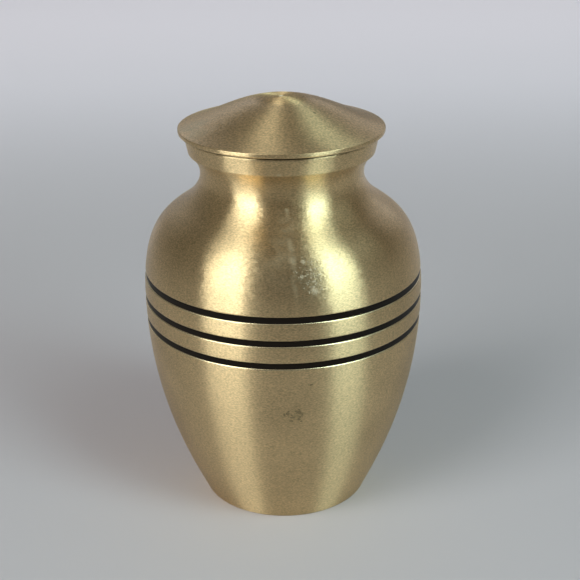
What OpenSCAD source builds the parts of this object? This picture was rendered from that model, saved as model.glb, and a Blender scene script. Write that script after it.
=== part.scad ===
/* [Overall] */
// Height of the closed urn, underside to the crown of the lid
urn_h = 76.2; // [64:0.1:92]
// Diameter of the belly at its widest ring
belly_d = 51; // [46:0.1:62]
// Diameter of the foot the urn stands on
foot_d = 31.2; // [26:0.1:38]
// Thickness of the body's wall
wall = 1.5; // [1:0.1:2]
// Thickness of the floor of the body
floor_t = 2; // [1.2:0.1:3]

/* [Belly and shoulder] */
// Lean of the wall where it leaves the foot, from upright
foot_lean = 25; // [18:1:28]
// Softness of the curve just above the foot
foot_pull = 7.4; // [4:0.1:10]
// Softness of the belly curve just below the widest ring
belly_pull = 19.4; // [14:0.1:22]
// Rise from the widest ring to the waist of the neck
shoulder_h = 22.8; // [19:0.1:28]
// Softness of the shoulder just above the widest ring
shoulder_pull = 17.9; // [14:0.1:20]
// Softness of the slope where it runs into the neck
slope_pull = 6.9; // [4:0.1:9]

/* [Neck and collar] */
// Diameter of the neck at its waist
neck_d = 29.3; // [26:0.1:33]
// Radius of the hollow turned round the neck
neck_hollow = 4.75; // [4:0.05:6]
// Lean of the slope where the neck's hollow begins, from upright
neck_lean = 28; // [20:1:36]
// Diameter of the collar at its lower edge
collar_low_d = 33.3; // [32:0.1:36]
// Diameter of the collar at its top
collar_top_d = 34.7; // [33:0.1:37]
// Height of the collar band
collar_h = 3.4; // [2.8:0.1:4.2]
// Corner taken off the collar's top edge and the foot
edge_break = 0.3; // [0.1:0.05:0.4]

/* [Grooves] */
// Width of each groove
groove_w = 1.05; // [0.8:0.05:1.4]
// Depth of each groove
groove_depth = 0.5; // [0.3:0.05:0.6]
// Distance from one groove to the next
groove_pitch = 4.2; // [3:0.1:5.2]
// Height of the middle groove above the widest ring
groove_rise = 0.3; // [-2:0.05:2]
// How far the black filling lies below the brass
fill_recess = 0.15; // [0.05:0.05:0.25]

/* [Lid] */
// Diameter of the lid at its rim
lid_d = 36.6; // [35:0.1:44]
// Height of the lid above the collar, rim and dome together
lid_h = 6.1; // [5:0.1:7.5]
// Height of the lid's upright edge
rim_h = 0.85; // [0.7:0.05:1.2]
// Slope of the dome where it meets the rim, from level
rim_slope = 15.5; // [8:0.5:20]
// Softness of the dome over its crown
crown_pull = 8.2; // [5:0.1:9]
// Softness of the dome's sweep near the rim
rim_pull = 7.2; // [5:0.1:8]
// Corner taken off the rim's edges
rim_break = 0.12; // [0.05:0.01:0.2]
// Thickness of the dome and of the ring below it
lid_wall = 1.3; // [1:0.1:1.6]
// Depth that the lid's ring reaches into the mouth
spigot_h = 5.5; // [4:0.1:7]
// Gap round the ring inside the mouth, on each side
spigot_gap = 0.2; // [0.1:0.05:0.4]

/* [Hidden] */
$fn = 180;
STEPS = 28;              // pieces that each swept curve is drawn in
BRASS = "#a8925f";
BLACK = "#1c1a17";

belly_r = belly_d / 2;
foot_r = foot_d / 2;
neck_r = neck_d / 2;
lid_r = lid_d / 2;
collar_low_r = collar_low_d / 2;
collar_top_r = collar_top_d / 2;

// Heights, worked down from the crown of the lid
seat_z = urn_h - lid_h;
collar_z = seat_z - collar_h;
flare = acos(1 - (collar_low_r - neck_r) / neck_hollow);
neck_z = collar_z - neck_hollow * sin(flare);
belly_z = neck_z - shoulder_h;
groove_z = belly_z + groove_rise;

// The lid's ring fits the mouth, which is bored as wide as the neck's waist allows
mouth_r = neck_r - wall;
spigot_r = mouth_r - spigot_gap;

// A cubic curve through its two ends, steered by the two points between
function bezier(p, t) = pow(1 - t, 3) * p[0] + 3 * pow(1 - t, 2) * t * p[1]
    + 3 * (1 - t) * t * t * p[2] + pow(t, 3) * p[3];
function heading(p, t) = let (v = pow(1 - t, 2) * (p[1] - p[0])
    + 2 * (1 - t) * t * (p[2] - p[1]) + t * t * (p[3] - p[2])) v / norm(v);

// Points along a cubic, moved to its left by inset
function swept(p, inset = 0) = [for (i = [0:STEPS])
    let (t = i / STEPS, h = heading(p, t)) bezier(p, t) + inset * [-h.y, h.x]];

// Points along the neck's hollow from one angle above its waist to another
function hollow(from, to, inset = 0) = [for (i = [0:STEPS])
    let (a = from + (to - from) * i / STEPS, r = neck_hollow + inset)
    [neck_r + neck_hollow - r * cos(a), neck_z + r * sin(a)]];

// The foot up to the widest ring, and the widest ring up to the neck's hollow
belly_line = [
    [foot_r, 0],
    [foot_r + foot_pull * sin(foot_lean), foot_pull * cos(foot_lean)],
    [belly_r, belly_z - belly_pull],
    [belly_r, belly_z]];
slope_end = hollow(-neck_lean, 0)[0];
shoulder_line = [
    [belly_r, belly_z],
    [belly_r, belly_z + shoulder_pull],
    slope_end + slope_pull * [sin(neck_lean), -cos(neck_lean)],
    slope_end];
dome_line = [
    [lid_r - rim_break, seat_z + rim_h],
    [lid_r - rim_break - rim_pull * cos(rim_slope), seat_z + rim_h + rim_pull * sin(rim_slope)],
    [crown_pull, urn_h],
    [0, urn_h]];

// The body's outside from the foot to the waist, or the same line one wall further in
function side(inset = 0) = concat(swept(belly_line, inset), swept(shoulder_line, inset),
    hollow(-neck_lean, 0, inset));

// Radius of the body's outside at a height
function side_r(z) = lookup(z, [for (p = side()) [p.y, p.x]]);
function floor_r(z) = side_r(z) - groove_depth;

// The solid outside of the body, before it is hollowed
module outside() {
    polygon(concat(
        [[0, 0], [foot_r - edge_break, 0], [side_r(edge_break), edge_break]],
        [for (p = side()) if (p.y > edge_break) p],
        hollow(0, flare),
        [[collar_top_r, seat_z - edge_break], [collar_top_r - edge_break, seat_z], [0, seat_z]]));
}

// The empty room inside, with the mouth bored straight up through the collar
module room() {
    intersection() {
        polygon(concat([[0, 0]], side(wall), [[mouth_r, seat_z + 1], [0, seat_z + 1]]));
        translate([0, floor_t])
            square([belly_r, urn_h]);
    }
}

module body() {
    color(BRASS)
        rotate_extrude()
            difference() {
                outside();
                room();
                for (n = [-1:1])
                    groove(groove_z + n * groove_pitch, belly_r);
            }
}

// Section of a groove whose floor is at the groove's depth, filled out to a thickness
module groove(z, thickness) {
    translate([floor_r(z), z - groove_w / 2])
        square([thickness, groove_w]);
}

module black_band(n) {
    color(BLACK)
        rotate_extrude()
            groove(groove_z + n * groove_pitch, groove_depth - fill_recess);
}

// The dome's underside follows its top, one thickness in, as far out as the ring
module lid() {
    hollow_r = spigot_r - lid_wall;
    under = [for (p = swept(dome_line, lid_wall)) if (p.x > 0 && p.x < hollow_r) p];
    color(BRASS)
        rotate_extrude()
            polygon(concat(
                [[hollow_r, seat_z - spigot_h],
                 [spigot_r - rim_break, seat_z - spigot_h],
                 [spigot_r, seat_z - spigot_h + rim_break],
                 [spigot_r, seat_z],
                 [lid_r - rim_break, seat_z],
                 [lid_r, seat_z + rim_break],
                 [lid_r, seat_z + rim_h - rim_break]],
                swept(dome_line),
                [[0, urn_h - lid_wall]],
                [for (i = [len(under) - 1:-1:0]) under[i]],
                [[hollow_r, under[0].y]]));
}

body();
lid();
black_band(1);  // upper_black_band
black_band(0);  // middle_black_band
black_band(-1);  // lower_black_band
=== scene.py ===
"""Satin brass keepsake urn: body, lid and the black filling of its three turned grooves."""
from math import radians

import bpy
import numpy as np
from mathutils import Euler, Matrix, Vector


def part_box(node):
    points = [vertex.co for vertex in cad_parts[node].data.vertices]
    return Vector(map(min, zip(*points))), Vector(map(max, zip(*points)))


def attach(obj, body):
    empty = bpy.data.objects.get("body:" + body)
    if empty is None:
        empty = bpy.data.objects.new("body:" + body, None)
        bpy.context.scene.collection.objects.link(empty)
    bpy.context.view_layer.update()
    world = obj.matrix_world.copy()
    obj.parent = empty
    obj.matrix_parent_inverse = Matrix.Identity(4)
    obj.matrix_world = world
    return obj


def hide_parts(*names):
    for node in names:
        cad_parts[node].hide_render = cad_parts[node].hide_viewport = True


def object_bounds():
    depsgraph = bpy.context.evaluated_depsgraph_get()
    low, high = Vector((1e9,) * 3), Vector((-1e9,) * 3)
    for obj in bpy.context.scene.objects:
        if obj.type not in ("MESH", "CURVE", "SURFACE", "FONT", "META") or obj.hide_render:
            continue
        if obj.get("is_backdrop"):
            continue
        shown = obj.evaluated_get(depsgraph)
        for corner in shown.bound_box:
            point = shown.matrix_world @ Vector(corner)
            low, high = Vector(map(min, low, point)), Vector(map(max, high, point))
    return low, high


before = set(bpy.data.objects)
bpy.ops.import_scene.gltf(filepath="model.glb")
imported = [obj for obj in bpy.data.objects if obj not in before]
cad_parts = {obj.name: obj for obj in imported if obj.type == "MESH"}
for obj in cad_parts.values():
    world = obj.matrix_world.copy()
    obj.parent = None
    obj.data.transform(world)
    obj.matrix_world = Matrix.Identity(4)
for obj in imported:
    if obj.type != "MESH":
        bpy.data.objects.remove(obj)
cad_low, cad_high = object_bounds()
scene = bpy.context.scene


# ---------------------------------------------------------------- camera and studio
# The urn stands on a plain pale floor, a hand's length from the lens. Two tall soft
# boxes stand left and right of the camera, with a dim room between and behind them.
camera = bpy.data.objects.new("camera", bpy.data.cameras.new("camera"))
camera.location = (0, -0.2023, 0.1256)
look_down, look_aside, roll = radians(23.09), radians(-0.35), radians(-0.51)
aim = Euler((radians(90) - look_down, 0, look_aside)).to_matrix().to_4x4()
camera.matrix_world = Matrix.Translation(camera.location) @ aim @ Matrix.Rotation(roll, 4, "Z")
camera.data.sensor_width = 36
camera.data.lens = 73.18
camera.data.clip_start = 0.01
scene.collection.objects.link(camera)
scene.camera = camera
scene.view_settings.view_transform = "Standard"


def soft_box(name, centre, width, height, radiance, colour, look=None):
    """A lit rectangle facing a point (the urn's axis, level with it, if none is given).

    An even rectangle of area A sends out pi * A * radiance watts.
    """
    light = bpy.data.lights.new(name, "AREA")
    light.shape, light.size, light.size_y = "RECTANGLE", width, height
    light.energy, light.color = np.pi * width * height * radiance, colour
    lamp = bpy.data.objects.new(name, light)
    centre = Vector(centre)
    aim = Vector((0, 0, centre.z)) if look is None else Vector(look)
    facing = (centre - aim).to_track_quat("Z", "Y").to_matrix().to_4x4()
    lamp.matrix_world = Matrix.Translation(centre) @ facing
    lamp.visible_camera = False
    scene.collection.objects.link(lamp)
    return lamp


def tall_box(name, first, last, bottom, top, radiance, colour, distance=0.8):
    """An upright soft box spanning two bearings, in degrees to the right of the camera."""
    middle, half = radians((first + last) / 2), radians((last - first) / 2)
    centre = (distance * np.sin(middle), -distance * np.cos(middle), (bottom + top) / 2)
    return soft_box(name, centre, 2 * distance * np.tan(half), top - bottom, radiance, colour)


# The right box is greener than the left one, and the light behind is cooler.
tall_box("left_soft_box", -66, -33, 0, 1.4, 3.85, (0.93, 1, 1.01))
tall_box("right_soft_box", 36.5, 64.5, 0.16, 1.75, 4.5, (0.75, 1, 1.03))
belly = (0, 0, 0.05)
soft_box("left_fill", (-0.75, 0, 0.75), 0.6, 0.4, 0.06, (1, 1, 1), belly)
soft_box("right_fill", (0.75, 0, 0.75), 0.6, 0.4, 0.35, (0.75, 1, 1.08), belly)
soft_box("front_top", (0, -0.4, 0.85), 1.2, 0.12, 0.7, (1, 1, 1), belly)
soft_box("back_light", (0.1, 1.2, 0.6), 1.6, 0.6, 0.42, (0.93, 1, 1.25), (0, 0.5, 0))
back_wash = soft_box("back_wash", (0, 0.5, 0.5), 1.8, 0.4, 0.28, (1, 1, 1), (0, 0.55, 0))
back_wash.data.spread = radians(70)

world = bpy.data.worlds.new("studio")
world.use_nodes = True
scene.world = world


def add(tree, kind, inputs=None, **settings):
    """Adds a shader node. Inputs are values or other nodes' sockets, by name or number."""
    new_node = tree.nodes.new("ShaderNode" + kind)
    for key, value in settings.items():
        setattr(new_node, key, value)
    for key, value in (inputs or {}).items():
        if isinstance(value, bpy.types.NodeSocket):
            tree.links.new(value, new_node.inputs[key])
        else:
            new_node.inputs[key].default_value = value
    return new_node


def reckon(tree, operation, a, b=0.0, clamp=False):
    """One sum on two numbers or sockets."""
    return add(tree, "Math", {0: a, 1: b}, operation=operation, use_clamp=clamp).outputs[0]


def ramp(tree, value, start, stop, low=0.0, high=1.0, soft=False):
    """Low up to the start, high from the stop on, and a straight or soft slope between."""
    kind = "SMOOTHSTEP" if soft else "LINEAR"
    limits = {0: value, 1: start, 2: stop, 3: low, 4: high}
    return add(tree, "MapRange", limits, interpolation_type=kind).outputs[0]


def mixed(tree, share, first, second):
    """The first colour where the share is 0, the second where it is 1."""
    return add(tree, "Mix", {0: share, 6: first, 7: second}, data_type="RGBA").outputs[2]


def dimmed(tree, colour, level):
    """A colour times one number."""
    grey = add(tree, "CombineColor", {0: level, 1: level, 2: level}).outputs[0]
    shares = {0: 1.0, 6: colour, 7: grey}
    return add(tree, "Mix", shares, data_type="RGBA", blend_type="MULTIPLY").outputs[2]


# The room is darkest low down behind the camera, and dim and warm all round.
nt = world.node_tree
toward = add(nt, "SeparateXYZ", {0: add(nt, "TexCoord").outputs["Generated"]}).outputs
lift = reckon(nt, "ADD", reckon(nt, "MULTIPLY", toward[1], 0.6), toward[2])
room = ramp(nt, lift, -0.5, 0.3, 0.03, 0.16)
nt.links.new(room, nt.nodes["Background"].inputs["Strength"])
nt.nodes["Background"].inputs["Color"].default_value = (1, 0.96, 0.85, 1)

floor_mesh = bpy.data.meshes.new("floor")
reach = 3.0
edges = reach * np.array([(-1, -1, 0), (1, -1, 0), (1, 1, 0), (-1, 1, 0)])
floor_mesh.from_pydata(edges.tolist(), [], [(0, 1, 2, 3)])
floor = bpy.data.objects.new("floor", floor_mesh)
scene.collection.objects.link(floor)
floor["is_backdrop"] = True
paint = bpy.data.materials.new("floor_paint")
paint.use_nodes = True
nt = paint.node_tree
# Paler behind the urn, standing in for a brighter wall there, and darker close to the camera,
# which is painted shade.
away = add(nt, "SeparateXYZ", {0: add(nt, "TexCoord").outputs["Object"]}).outputs[1]
here, behind = (0.6, 0.554, 0.57, 1), (0.869, 0.815, 0.865, 1)
shade = mixed(nt, ramp(nt, away, 0.1, 0.35, soft=True), here, behind)
shade = dimmed(nt, shade, ramp(nt, away, -0.2, -0.04, 0.72, 1, soft=True))
nt.links.new(shade, nt.nodes["Principled BSDF"].inputs["Base Color"])
nt.nodes["Principled BSDF"].inputs["Roughness"].default_value = 0.8
floor_mesh.materials.append(paint)


# ---------------------------------------------------------------- body
# One brass casting, turned all over on a lathe: foot, belly, shoulder, waisted neck
# and collar. Its wall is the same thickness from foot to neck, and the mouth is bored
# straight. The outside is brushed round with abrasive while it spins.
MM = 0.001
urn_h = cad_high.z
collar_h, shoulder_h = 3.4 * MM, 22.8 * MM
belly_r, foot_r, neck_r = cad_high.x, 15.6 * MM, 14.65 * MM
collar_low_r, collar_top_r = 16.65 * MM, 17.35 * MM
wall, floor_t, neck_hollow = 1.5 * MM, 2 * MM, 4.75 * MM
seat_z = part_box("body")[1].z
collar_z = seat_z - collar_h
flare = np.arccos(1 - (collar_low_r - neck_r) / neck_hollow)
neck_z = collar_z - neck_hollow * np.sin(flare)
belly_z = neck_z - shoulder_h
neck_slope = 28
neck_lean, foot_lean = radians(neck_slope), radians(25)
foot_pull, belly_pull = 7.4 * MM, 19.4 * MM
shoulder_pull, slope_pull = 17.9 * MM, 6.9 * MM
foot_round, ridge_round, collar_round, bore_round = 0.3 * MM, 0.35 * MM, 0.6 * MM, 0.25 * MM


def bezier(points, count=400):
    """A cubic curve: its ends are the first and last point, steered by the two between.

    The four points are weighed by (1 - t)^3, 3 (1 - t)^2 t, 3 (1 - t) t^2 and t^3.
    """
    t = np.linspace(0, 1, count)[:, None]
    a, b, c, d = np.array(points, float)
    return (1 - t) ** 3 * a + 3 * (1 - t) ** 2 * t * b + 3 * (1 - t) * t**2 * c + t**3 * d


def arc(centre, radius, start, stop, count):
    """Points round a centre, from one angle to another, in degrees: centre + r (cos, sin)."""
    turn = np.radians(np.linspace(start, stop, count))
    return np.array(centre) + radius * np.stack([np.cos(turn), np.sin(turn)], 1)


def eased(corners, steps=5, lead=0.03 * MM):
    """A polyline whose corners (x, z, radius) become arcs, with a close point each side.

    An arc of radius r starts r / tan(half the corner's angle) from the corner, and swings
    evenly from there: (sin((1 - t) w) u + sin(t w) v) / sin(w), over an angle of w.
    """
    spots = np.array([c[:2] for c in corners], float)
    path = [spots[0]]
    for k in range(1, len(corners) - 1):
        radius = corners[k][2]
        back, on = spots[k - 1] - spots[k], spots[k + 1] - spots[k]
        back, on = back / np.linalg.norm(back), on / np.linalg.norm(on)
        half = np.arccos(np.clip(back @ on, -1, 1)) / 2
        cut = radius / np.tan(half)
        middle = spots[k] + (back + on) / np.linalg.norm(back + on) * radius / np.sin(half)
        first, last = spots[k] + back * cut, spots[k] + on * cut
        path.append(first + back * lead)
        u, v = first - middle, last - middle
        sweep = np.pi - 2 * half
        t = np.linspace(0, 1, steps + 1)[:, None]
        swung = np.sin((1 - t) * sweep) * u + np.sin(t * sweep) * v
        path.extend(middle + swung / np.sin(sweep))
        path.append(last + on * lead)
    path.append(spots[-1])
    return np.array(path)


def moved_in(line, thickness):
    """The line moved to its left by a thickness, square to its own direction."""
    along = np.gradient(line, axis=0)
    along /= np.linalg.norm(along, axis=1)[:, None]
    return line + thickness * np.stack([-along[:, 1], along[:, 0]], 1)


def turned(name, outline, columns=256):
    """Carries a closed outline (radius, height) once round the axis.

    Row i, column j is (r_i cos a_j, r_i sin a_j, z_i). The outline starts and ends on the
    axis, where each end is one point. The map called "turning" holds the angle as a share
    of a turn, and the length along the outline in metres.
    """
    r, z = outline[1:-1].T
    rows = len(r)
    angle = np.arange(columns) * 2 * np.pi / columns
    heights = np.repeat(z[:, None], columns, 1)
    ring = np.stack([np.outer(r, np.cos(angle)), np.outer(r, np.sin(angle)), heights], -1)
    ends = np.array([[0, 0, outline[0, 1]], [0, 0, outline[-1, 1]]])
    points = np.concatenate([ring.reshape(-1, 3), ends])
    i, j = np.meshgrid(np.arange(rows - 1), np.arange(columns), indexing="ij")
    k = (j + 1) % columns
    here, above = i * columns, (i + 1) * columns
    quads = np.stack([here + j, here + k, above + k, above + j], -1).reshape(-1, 4)
    j = np.arange(columns)
    k = (j + 1) % columns
    top = (rows - 1) * columns
    fans = np.concatenate([
        np.stack([np.full(columns, len(points) - 2), k, j], -1),
        np.stack([np.full(columns, len(points) - 1), top + j, top + k], -1)])
    mesh = bpy.data.meshes.new(name)
    mesh.vertices.add(len(points))
    mesh.vertices.foreach_set("co", points.ravel())
    corners = np.concatenate([quads.ravel(), fans.ravel()])
    mesh.loops.add(len(corners))
    mesh.loops.foreach_set("vertex_index", corners)
    starts = np.concatenate([np.arange(len(quads)) * 4, len(quads) * 4 + np.arange(len(fans)) * 3])
    mesh.polygons.add(len(starts))
    mesh.polygons.foreach_set("loop_start", starts)
    mesh.update(calc_edges=True)
    length = np.concatenate([[0], np.cumsum(np.linalg.norm(np.diff(outline, axis=0), axis=1))])
    along = np.concatenate([np.repeat(length[1:-1], columns), length[[0, -1]]])
    share = np.concatenate([np.tile(np.arange(columns), rows), [0, 0]]) / columns
    # A face that closes the turn takes its far corners one turn on, not back at nought.
    u = share[corners]
    spread = np.maximum.reduceat(u, starts) - np.minimum.reduceat(u, starts)
    closes = np.repeat(spread > 0.5, np.diff(np.append(starts, len(corners))))
    u = np.where(closes & (u < 0.5), u + 1, u)
    uv = mesh.uv_layers.new(name="turning")
    uv.data.foreach_set("uv", np.stack([u, along[corners]], -1).ravel())
    mesh.shade_smooth()
    piece = bpy.data.objects.new(name, mesh)
    scene.collection.objects.link(piece)
    return piece


belly_line = bezier([
    (foot_r, 0),
    (foot_r + foot_pull * np.sin(foot_lean), foot_pull * np.cos(foot_lean)),
    (belly_r, belly_z - belly_pull),
    (belly_r, belly_z)])
neck_middle = (neck_r + neck_hollow, neck_z)
neck_below = arc(neck_middle, neck_hollow, 180 + neck_slope, 180, 40)
neck_above = arc(neck_middle, neck_hollow, 180, 180 - np.degrees(flare), 40)
slope_end = neck_below[0]
shoulder_line = bezier([
    (belly_r, belly_z),
    (belly_r, belly_z + shoulder_pull),
    slope_end + slope_pull * np.array([np.sin(neck_lean), -np.cos(neck_lean)]),
    slope_end])
side = np.concatenate([belly_line, shoulder_line[1:], neck_below[1:]])
outside = np.concatenate([side, neck_above[1:]])


def side_r(z):
    """Radius of the outside at a height, read off the outline."""
    return np.interp(z, outside[:, 1], outside[:, 0])


groove_w, groove_depth, groove_pitch, groove_rise = 1.05 * MM, 0.5 * MM, 4.2 * MM, 0.3 * MM
groove_z = belly_z + groove_rise + groove_pitch * np.array([-1, 0, 1])
arris, root = 0.24 * MM, 0.06 * MM


def groove(z):
    """Across one groove, upwards: down the lower wall, over the floor, up the upper wall."""
    low, high, depth = z - groove_w / 2, z + groove_w / 2, side_r(z) - groove_depth
    return eased([
        (side_r(low - 3 * arris), low - 3 * arris, 0), (side_r(low), low, arris),
        (depth, low, root), (depth, high, root),
        (side_r(high), high, arris), (side_r(high + 3 * arris), high + 3 * arris, 0)], steps=4)


def plain_side(start, stop, step=0.45 * MM):
    """Points on the outside between two heights, evenly spaced."""
    z = np.linspace(start, stop, max(3, int((stop - start) / step)))
    return np.stack([side_r(z), z], 1)


foot_top, collar_start = 1.2 * MM, collar_z - 0.5 * MM
foot_edge = eased([
    (foot_r - foot_top, 0, 0), (foot_r + 0.05 * MM, 0, foot_round),
    (side_r(foot_top), foot_top, 0)])
cuts = [groove(z) for z in groove_z]
collar = eased([
    (side_r(collar_start), collar_start, 0), (collar_low_r, collar_z, ridge_round),
    (collar_top_r, seat_z, collar_round), (neck_r - wall, seat_z, bore_round),
    (neck_r - wall, neck_z, 0)])
inner_side = moved_in(side, wall)
floor_in_r, well_round = np.interp(floor_t, inner_side[:, 1], inner_side[:, 0]), 0.8 * MM
inside = inner_side[inner_side[:, 1] > floor_t + 1 * MM][::-1][::9]
well = eased([
    (*inside[-1], 0), (floor_in_r, floor_t, well_round), (floor_in_r - 4 * MM, floor_t, 0)])
# From the middle of the underside up the outside, and down the inside to the floor's middle.
body_outline = np.concatenate([
    [[0, 0]], [[r, 0] for r in np.linspace(1, 13, 9) * MM],
    foot_edge[:-1],
    plain_side(foot_top, cuts[0][0, 1])[:-1], cuts[0][:-1],
    plain_side(cuts[0][-1, 1], cuts[1][0, 1])[:-1], cuts[1][:-1],
    plain_side(cuts[1][-1, 1], cuts[2][0, 1])[:-1], cuts[2][:-1],
    plain_side(cuts[2][-1, 1], collar_start)[:-1],
    collar, inside[1:-1], well, [[r, floor_t] for r in np.linspace(7, 1, 4) * MM], [[0, floor_t]]])
body = turned("urn_body", body_outline)


def new_group(name, takes, gives):
    """An empty shader node group; takes and gives are {socket name: type}."""
    tree = bpy.data.node_groups.new(name, "ShaderNodeTree")
    for socket, kind in takes.items():
        tree.interface.new_socket(socket, in_out="INPUT", socket_type="NodeSocket" + kind)
    for socket, kind in gives.items():
        tree.interface.new_socket(socket, in_out="OUTPUT", socket_type="NodeSocket" + kind)
    return tree, tree.nodes.new("NodeGroupInput").outputs, tree.nodes.new("NodeGroupOutput").inputs


# Marks left by the abrasive: fine facets, each tipped its own way, under long scratches
# that run round the axis.
brushing, given, made = new_group("lathe_brushing", {
    "Facet Size": "Float", "Facet Tip": "Float",
    "Scratch Size": "Float", "Scratch Depth": "Float"}, {"Normal": "Vector"})
place = add(brushing, "TexCoord").outputs["Object"]
facets = reckon(brushing, "DIVIDE", 1.0, given["Facet Size"])
facet = add(brushing, "TexVoronoi", {"Vector": place, "Scale": facets}).outputs["Color"]
half = (0.5, 0.5, 0.5)
tip = add(brushing, "VectorMath", {0: facet, 1: half}, operation="SUBTRACT").outputs[0]
tip = add(brushing, "VectorMath", {0: tip, "Scale": given["Facet Tip"]}, operation="SCALE")
outward = add(brushing, "NewGeometry").outputs["Normal"]
tipped = add(brushing, "VectorMath", {0: outward, 1: tip.outputs[0]}, operation="ADD").outputs[0]
tipped = add(brushing, "VectorMath", {0: tipped}, operation="NORMALIZE").outputs[0]


def off_axis(tree, place):
    """The X, Y and Z of a place, and its distance from the axis."""
    x, y, z = add(tree, "SeparateXYZ", {0: place}).outputs
    squares = [reckon(tree, "MULTIPLY", axis, axis) for axis in (x, y)]
    return x, y, z, reckon(tree, "SQRT", reckon(tree, "ADD", *squares))


x, y, _, radius = off_axis(brushing, place)
radius = reckon(brushing, "MAXIMUM", radius, 0.1 * MM)
along = add(brushing, "SeparateXYZ", {0: add(brushing, "UVMap", uv_map="turning").outputs[0]})
# A scratch runs a twelfth of a radian round the axis, and is one scratch size wide.
scratch_run = 12.0
round_axis = add(brushing, "CombineXYZ", {
    0: reckon(brushing, "MULTIPLY", reckon(brushing, "DIVIDE", x, radius), scratch_run),
    1: reckon(brushing, "MULTIPLY", reckon(brushing, "DIVIDE", y, radius), scratch_run),
    2: reckon(brushing, "DIVIDE", along.outputs[1], given["Scratch Size"])}).outputs[0]
scratches = add(brushing, "TexNoise", {
    "Vector": round_axis, "Scale": 1.0, "Detail": 2.0, "Roughness": 0.6}).outputs[0]
cut = add(brushing, "Bump", {
    "Distance": given["Scratch Depth"], "Height": scratches, "Normal": tipped})
brushing.links.new(cut.outputs[0], made["Normal"])

# Old lacquer and handling: slow blotches, and a fine grain drawn out round the axis. The
# foot is a little darker, and the middle of the lid is rougher, where the abrasive turned
# on the spot.
tone, given, made = new_group(
    "brass_tone", {"Color": "Color", "Roughness": "Float"},
    {"Color": "Color", "Roughness": "Float"})
place = add(tone, "TexCoord").outputs["Object"]
blotch = add(tone, "TexNoise", {
    "Vector": place, "Scale": 90.0, "Detail": 3.0, "Roughness": 0.55}).outputs[0]
grain = add(tone, "VectorMath", {0: place, 1: (1, 1, 2.4)}, operation="MULTIPLY").outputs[0]
tooth = add(tone, "TexNoise", {"Vector": grain, "Scale": 2500.0, "Detail": 1.5}).outputs[0]
_, _, z, radius = off_axis(tone, place)
level = reckon(tone, "ADD", ramp(tone, blotch, 0.3, 0.7, 0.9, 1.06),
               ramp(tone, tooth, 0.3, 0.7, -0.22, 0.22))
level = reckon(tone, "MULTIPLY", level, ramp(tone, z, 18 * MM, 34 * MM, 0.92, 1))
tone.links.new(dimmed(tone, given["Color"], level), made["Color"])
duller = reckon(tone, "ADD", ramp(tone, blotch, 0.3, 0.7, 0.02, -0.02),
                ramp(tone, radius, 1.5 * MM, 6 * MM, 0.5, 0, soft=True))
tone.links.new(reckon(tone, "ADD", given["Roughness"], duller), made["Roughness"])

# A patch of round flecks or a soft cloud: thickest where the given vector is zero, and gone
# where it is one long. Cloud is 0 for flecks and 1 for a cloud.
flecks, given, made = new_group("flecks", {
    "Vector": "Vector", "Fleck Size": "Float", "Cover": "Float", "Cloud": "Float"},
    {"Mask": "Float"})
reach_out = add(flecks, "VectorMath", {0: given["Vector"]}, operation="LENGTH")
near = ramp(flecks, reach_out.outputs["Value"], 0, 1, 1, 0, soft=True)
place = add(flecks, "TexCoord").outputs["Object"]
fine = reckon(flecks, "DIVIDE", 1.0, given["Fleck Size"])
finer = reckon(flecks, "MULTIPLY", fine, 2.0)
grit = add(flecks, "TexNoise", {"Vector": place, "Scale": finer, "Detail": 2.0})
sway = reckon(flecks, "MULTIPLY", given["Fleck Size"], 0.8)
wobble = add(flecks, "VectorMath", {0: grit.outputs["Color"], "Scale": sway}, operation="SCALE")
shaken = add(flecks, "VectorMath", {0: place, 1: wobble.outputs[0]}, operation="ADD").outputs[0]
cell = add(flecks, "TexVoronoi", {"Vector": shaken, "Scale": fine})
lot = add(flecks, "SeparateColor", {0: cell.outputs["Color"]}).outputs
size = ramp(flecks, lot[1], 0, 1, 0.4, 0.8)
dot = reckon(flecks, "SUBTRACT", size, cell.outputs["Distance"])
dot = reckon(flecks, "MULTIPLY", dot, 5.0, clamp=True)
chosen = reckon(flecks, "LESS_THAN", lot[0], reckon(flecks, "MULTIPLY", near, given["Cover"]))
dots = reckon(flecks, "MULTIPLY", dot, chosen)
cloud = reckon(flecks, "MULTIPLY", near, ramp(flecks, grit.outputs[0], 0.35, 0.6))
cloud = reckon(flecks, "MULTIPLY", cloud, given["Cover"])
mask = add(flecks, "Mix", {0: given["Cloud"], 2: dots, 3: cloud}, data_type="FLOAT")
flecks.links.new(mask.outputs[0], made["Mask"])


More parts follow.
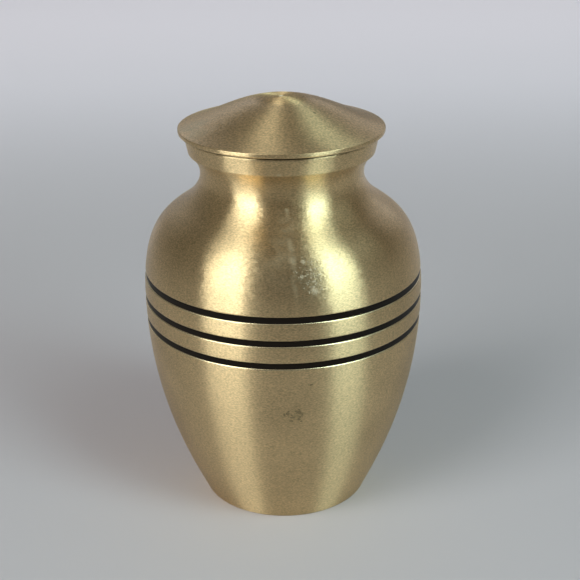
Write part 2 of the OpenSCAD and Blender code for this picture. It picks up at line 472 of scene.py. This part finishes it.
def brushed_brass(name, brush_turn, roughness, anisotropy, facet_tip, marks):
    """Satin brass whose highlights stretch across the brushing, with painted shade in the lid's
    seam.

    Marks are ((bearing, radius, height), (half width, half height, lean), (fleck size, cover,
    cloud), (colour, metal, strength)). Half widths, half heights and fleck sizes are in mm,
    bearings and leans in degrees, and bearings are counted to the right of the front.
    """
    material = bpy.data.materials.new(name)
    material.use_nodes = True
    tree = material.node_tree
    shader = tree.nodes["Principled BSDF"]
    shader.inputs["Anisotropic"].default_value = anisotropy
    shader.inputs["Anisotropic Rotation"].default_value = 0.25 + brush_turn / 360
    tangent = add(tree, "Tangent", direction_type="RADIAL", axis="Z")
    tree.links.new(tangent.outputs[0], shader.inputs["Tangent"])
    toned = add(tree, "Group", node_tree=tone)
    toned.inputs["Color"].default_value = (0.75, 0.56, 0.3, 1)
    toned.inputs["Roughness"].default_value = roughness
    colour, metal = toned.outputs["Color"], 1.0
    place = add(tree, "TexCoord").outputs["Object"]
    for where, spread, (size, cover, cloud), (tint, metallic, strength) in marks:
        bearing, radius, height = where
        half_w, half_h, lean = spread
        turn = radians(bearing)
        centred = add(tree, "Mapping", {
            "Vector": place, "Location": (radius * np.sin(turn), -radius * np.cos(turn), height),
            "Rotation": (0, radians(lean), turn),
            "Scale": (half_w * MM, max(half_w, half_h) * MM, half_h * MM)}, vector_type="TEXTURE")
        mask = add(tree, "Group", node_tree=flecks)
        tree.links.new(centred.outputs[0], mask.inputs["Vector"])
        mask.inputs["Fleck Size"].default_value = size * MM
        mask.inputs["Cover"].default_value = cover
        mask.inputs["Cloud"].default_value = cloud
        share = reckon(tree, "MULTIPLY", mask.outputs[0], strength)
        colour = mixed(tree, share, colour, tint)
        lost = reckon(tree, "MULTIPLY", share, 1 - metallic)
        metal = reckon(tree, "SUBTRACT", metal, lost, clamp=True)
    # A near-black band just below the lid's seat, and a little way above it, is painted shade
    # where the lid's rim overhangs the collar.
    height = add(tree, "SeparateXYZ", {0: place}).outputs[2]
    below = ramp(tree, height, seat_z - 0.45 * MM, seat_z - 0.3 * MM)
    above = ramp(tree, height, seat_z, seat_z + 0.15 * MM, 1, 0)
    seam_painted_shade = reckon(tree, "MULTIPLY", below, above)
    colour = mixed(tree, seam_painted_shade, colour, (0.02, 0.014, 0.008, 1))
    tree.links.new(colour, shader.inputs["Base Color"])
    tree.links.new(metal, shader.inputs["Metallic"])
    tree.links.new(toned.outputs["Roughness"], shader.inputs["Roughness"])
    marked = add(tree, "Group", node_tree=brushing)
    marked.inputs["Facet Size"].default_value = 0.17 * MM
    marked.inputs["Facet Tip"].default_value = facet_tip
    marked.inputs["Scratch Size"].default_value = 0.14 * MM
    marked.inputs["Scratch Depth"].default_value = 0.006 * MM
    tree.links.new(marked.outputs[0], shader.inputs["Normal"])
    return material


def on_side(bearing, height):
    """The place on the body's outside at a bearing and a height in mm."""
    return bearing, side_r(height * MM), height * MM


# The marks of age: a pale crust and smears on the front of the shoulder, a dull patch beside
# them, a cluster of dark spots on the lower belly with a short dash above it, and specks.
TARNISH, DULL_STAIN_AND_REFLECTION = (0.16, 0.12, 0.055, 1), (0.42, 0.4, 0.24, 1)
CHALK, WHITE_DEPOSIT_AND_GLINT = (0.7, 0.63, 0.46, 1), (0.92, 0.85, 0.66, 1)
body_brass = brushed_brass("brushed_brass", 3.4, 0.35, 1.0, 0.06, [
    (on_side(8.5, 51.0), (4.5, 6.5, -15), (1.2, 0.5, 1), (DULL_STAIN_AND_REFLECTION, 0.9, 0.7)),
    (on_side(4.2, 53.5), (1.0, 8.0, -4), (5, 1.0, 1), (CHALK, 0.2, 0.42)),
    (on_side(2.0, 61.6), (0.7, 3.2, -8), (5, 1.0, 1), (CHALK, 0.3, 0.5)),
    (on_side(-1, 55), (6.0, 8.0, 0), (8, 1.0, 1), (CHALK, 0.4, 0.22)),
    (on_side(3, 58), (3.0, 6.0, 0), (1.5, 0.6, 1), (CHALK, 0.4, 0.3)),
    (on_side(11.5, 51.5), (2.6, 4.5, -25), (0.8, 0.7, 1), (CHALK, 0.3, 0.3)),
    (on_side(11, 51.6), (3.2, 4.6, -30), (0.23, 0.4, 0), (WHITE_DEPOSIT_AND_GLINT, 0, 0.45)),
    (on_side(12.3, 49.3), (1.3, 0.8, 20), (0.16, 1.0, 1), (WHITE_DEPOSIT_AND_GLINT, 0, 0.6)),
    (on_side(8.5, 53.8), (0.6, 0.5, 0), (0.3, 1.0, 1), (WHITE_DEPOSIT_AND_GLINT, 0, 0.9)),
    (on_side(7.5, 51.7), (0.5, 0.5, 0), (0.3, 1.0, 1), (WHITE_DEPOSIT_AND_GLINT, 0, 0.9)),
    (on_side(4.5, 26.3), (2.3, 2.3, 0), (0.6, 1.4, 0), (TARNISH, 0.8, 0.6)),
    (on_side(4.8, 26.2), (2.0, 1.9, 0), (0.7, 0.8, 1), (TARNISH, 0.8, 0.45)),
    (on_side(10.2, 32.4), (0.8, 0.3, 0), (0.4, 1.0, 1), (TARNISH, 0.8, 1.2)),
    (on_side(4.7, 17.7), (1.6, 1.2, 0), (0.4, 0.5, 0), (TARNISH, 0.8, 0.3)),
    (on_side(6.5, 10.8), (1.2, 1.0, 0), (0.4, 0.5, 0), (TARNISH, 0.8, 0.3)),
    (on_side(-6.8, 19.3), (1.4, 1.0, 0), (0.4, 0.6, 0), (TARNISH, 0.8, 0.3))])
neck_brass = brushed_brass("neck_brass", -4, 0.35, 1.0, 0.06, [
    (on_side(-1.7, 67.0), (0.6, 0.4, 0), (0.4, 1.0, 1), (CHALK, 0.3, 0.5))])

# The lower lip of each groove has a paler brass colour, which is a painted highlight, and a
# smoother finish.
lip_painted_highlight_brass = bpy.data.materials.new("lip_painted_highlight_brass")
lip_painted_highlight_brass.use_nodes = True
shader = lip_painted_highlight_brass.node_tree.nodes["Principled BSDF"]
shader.inputs["Base Color"].default_value = (0.82, 0.7, 0.45, 1)
shader.inputs["Metallic"].default_value = 1
shader.inputs["Roughness"].default_value = 0.25
for material in (body_brass, neck_brass, lip_painted_highlight_brass):
    body.data.materials.append(material)


def face_places(mesh):
    """The radius and the height of the middle of every face."""
    middles = np.empty(len(mesh.polygons) * 3)
    mesh.polygons.foreach_get("center", middles)
    return np.hypot(middles[0::3], middles[1::3]), middles[2::3]


# The brushing turns its lean where the neck's hollow begins, so the neck's brass starts there.
middle_r, middle_z = face_places(body.data)
use = (middle_z > slope_end[1]).astype(np.int32)
# Faces on each groove's lower lip take the brass with the painted highlight.
for low in groove_z - groove_w / 2:
    on_lip = (middle_z < low) & (middle_z > low - 0.75 * arris)
    use[on_lip & (middle_r > side_r(low) - 0.8 * arris)] = 2
body.data.polygons.foreach_set("material_index", use)
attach(body, "root")
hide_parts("body")


# ---------------------------------------------------------------- black bands
# The three turned grooves are filled with hard black enamel, which has shrunk a little
# below the brass as it set.
enamel = bpy.data.materials.new("black_enamel")
enamel.use_nodes = True
shader = enamel.node_tree.nodes["Principled BSDF"]
shader.inputs["Base Color"].default_value = (0.008, 0.0048, 0.0025, 1)
shader.inputs["Roughness"].default_value = 0.4
shader.inputs["Specular IOR Level"].default_value = 0.11
fill_recess = 0.15 * MM


def band(name, z, node):
    """A ring as deep as the filling, at a height, in place of a CAD node.

    Row i, column j is (r_i cos a_j, r_i sin a_j, z_i), and the last row joins the first.
    """
    low, high = z - groove_w / 2, z + groove_w / 2
    inner, outer = side_r(z) - groove_depth, side_r(z) - fill_recess
    r, h = np.array([(inner, low), (outer, low), (outer, high), (inner, high)]).T
    rows, columns = len(r), 256
    angle = np.arange(columns) * 2 * np.pi / columns
    heights = np.repeat(h[:, None], columns, 1)
    points = np.stack([np.outer(r, np.cos(angle)), np.outer(r, np.sin(angle)), heights], -1)
    i, j = np.meshgrid(np.arange(rows), np.arange(columns), indexing="ij")
    here, above, k = i * columns, (i + 1) % rows * columns, (j + 1) % columns
    quads = np.stack([here + j, here + k, above + k, above + j], -1).reshape(-1, 4)
    mesh = bpy.data.meshes.new(name)
    mesh.from_pydata(points.reshape(-1, 3), [], quads.tolist())
    mesh.materials.append(enamel)
    piece = bpy.data.objects.new(name, mesh)
    scene.collection.objects.link(piece)
    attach(piece, "root")
    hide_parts(node)


for name, z in zip(("lower", "middle", "upper"), groove_z):
    band(name + "_band", z, name + "_black_band")


# ---------------------------------------------------------------- lid
# A turned brass cap: low dome swept out to a thin upright rim, hollow below, with a
# ring that drops into the bored mouth.
lid_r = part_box("lid")[1].x
rim_h, lid_wall, spigot_h, spigot_gap = 0.85 * MM, 1.3 * MM, 5.5 * MM, 0.2 * MM
spigot_r = neck_r - wall - spigot_gap
hollow_r = spigot_r - lid_wall
rim_slope, rim_pull, crown_pull = radians(15.5), 7.2 * MM, 8.2 * MM
rim_top = seat_z + rim_h
dome_line = bezier([
    (lid_r, rim_top),
    (lid_r - rim_pull * np.cos(rim_slope), rim_top + rim_pull * np.sin(rim_slope)),
    (crown_pull, urn_h), (0, urn_h)])
dome = dome_line[::4][::-1]
under = moved_in(dome_line, lid_wall)
under = under[(under[:, 0] > 0.3 * MM) & (under[:, 0] < hollow_r - 0.6 * MM)][::9]
spigot_end, hollow_top = seat_z - spigot_h, under[0, 1] - 0.2 * MM
rim_round, seat_round, spigot_root = 0.12 * MM, 0.35 * MM, 0.1 * MM
spigot_round, hollow_round = 0.25 * MM, 0.5 * MM
rim = eased([
    (*dome[-3], 0), (*dome[-1], rim_round), (lid_r, seat_z, seat_round),
    (spigot_r, seat_z, spigot_root), (spigot_r, spigot_end, spigot_round),
    (hollow_r, spigot_end, spigot_round), (hollow_r, hollow_top, hollow_round),
    (*under[0], 0)])
# A tiny dimple marks the centre that the lid was turned on.
centre_mark = np.array([[0, urn_h - 0.1 * MM], [0.3 * MM, urn_h - 0.02 * MM]])
crown = dome[dome[:, 0] > 0.5 * MM][:-3]
lid_outline = np.concatenate([centre_mark, crown, rim, under[1:], [[0, urn_h - lid_wall]]])
lid = turned("urn_lid", lid_outline[::-1])
# The dome has its own lean of brushing; the rim and all below it share the neck's brass.
lid.data.materials.append(brushed_brass("lid_brass", -16, 0.44, 0.84, 0.11, [
    # A white dot on the centre mark: a painted highlight.
    ((0, 0, urn_h), (0.5, 0.5, 0), (0.2, 1.0, 1), (WHITE_DEPOSIT_AND_GLINT, 0, 3)),
    # A grey cloud on the far left of the dome: a painted reflection of the room.
    ((-72, 16 * MM, 71.6 * MM), (7, 3, 0), (8, 1.0, 1), (DULL_STAIN_AND_REFLECTION, 0.9, 0.55)),
    ((41.3, 8.5 * MM, 74.7 * MM), (0.35, 0.35, 0), (0.3, 1.0, 1), (TARNISH, 0.8, 2.5))]))
lid.data.materials.append(neck_brass)
middle_z = face_places(lid.data)[1]
use = (middle_z < rim_top - 0.05 * MM).astype(np.int32)
lid.data.polygons.foreach_set("material_index", use)
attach(lid, "root")
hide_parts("lid")

low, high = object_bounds()
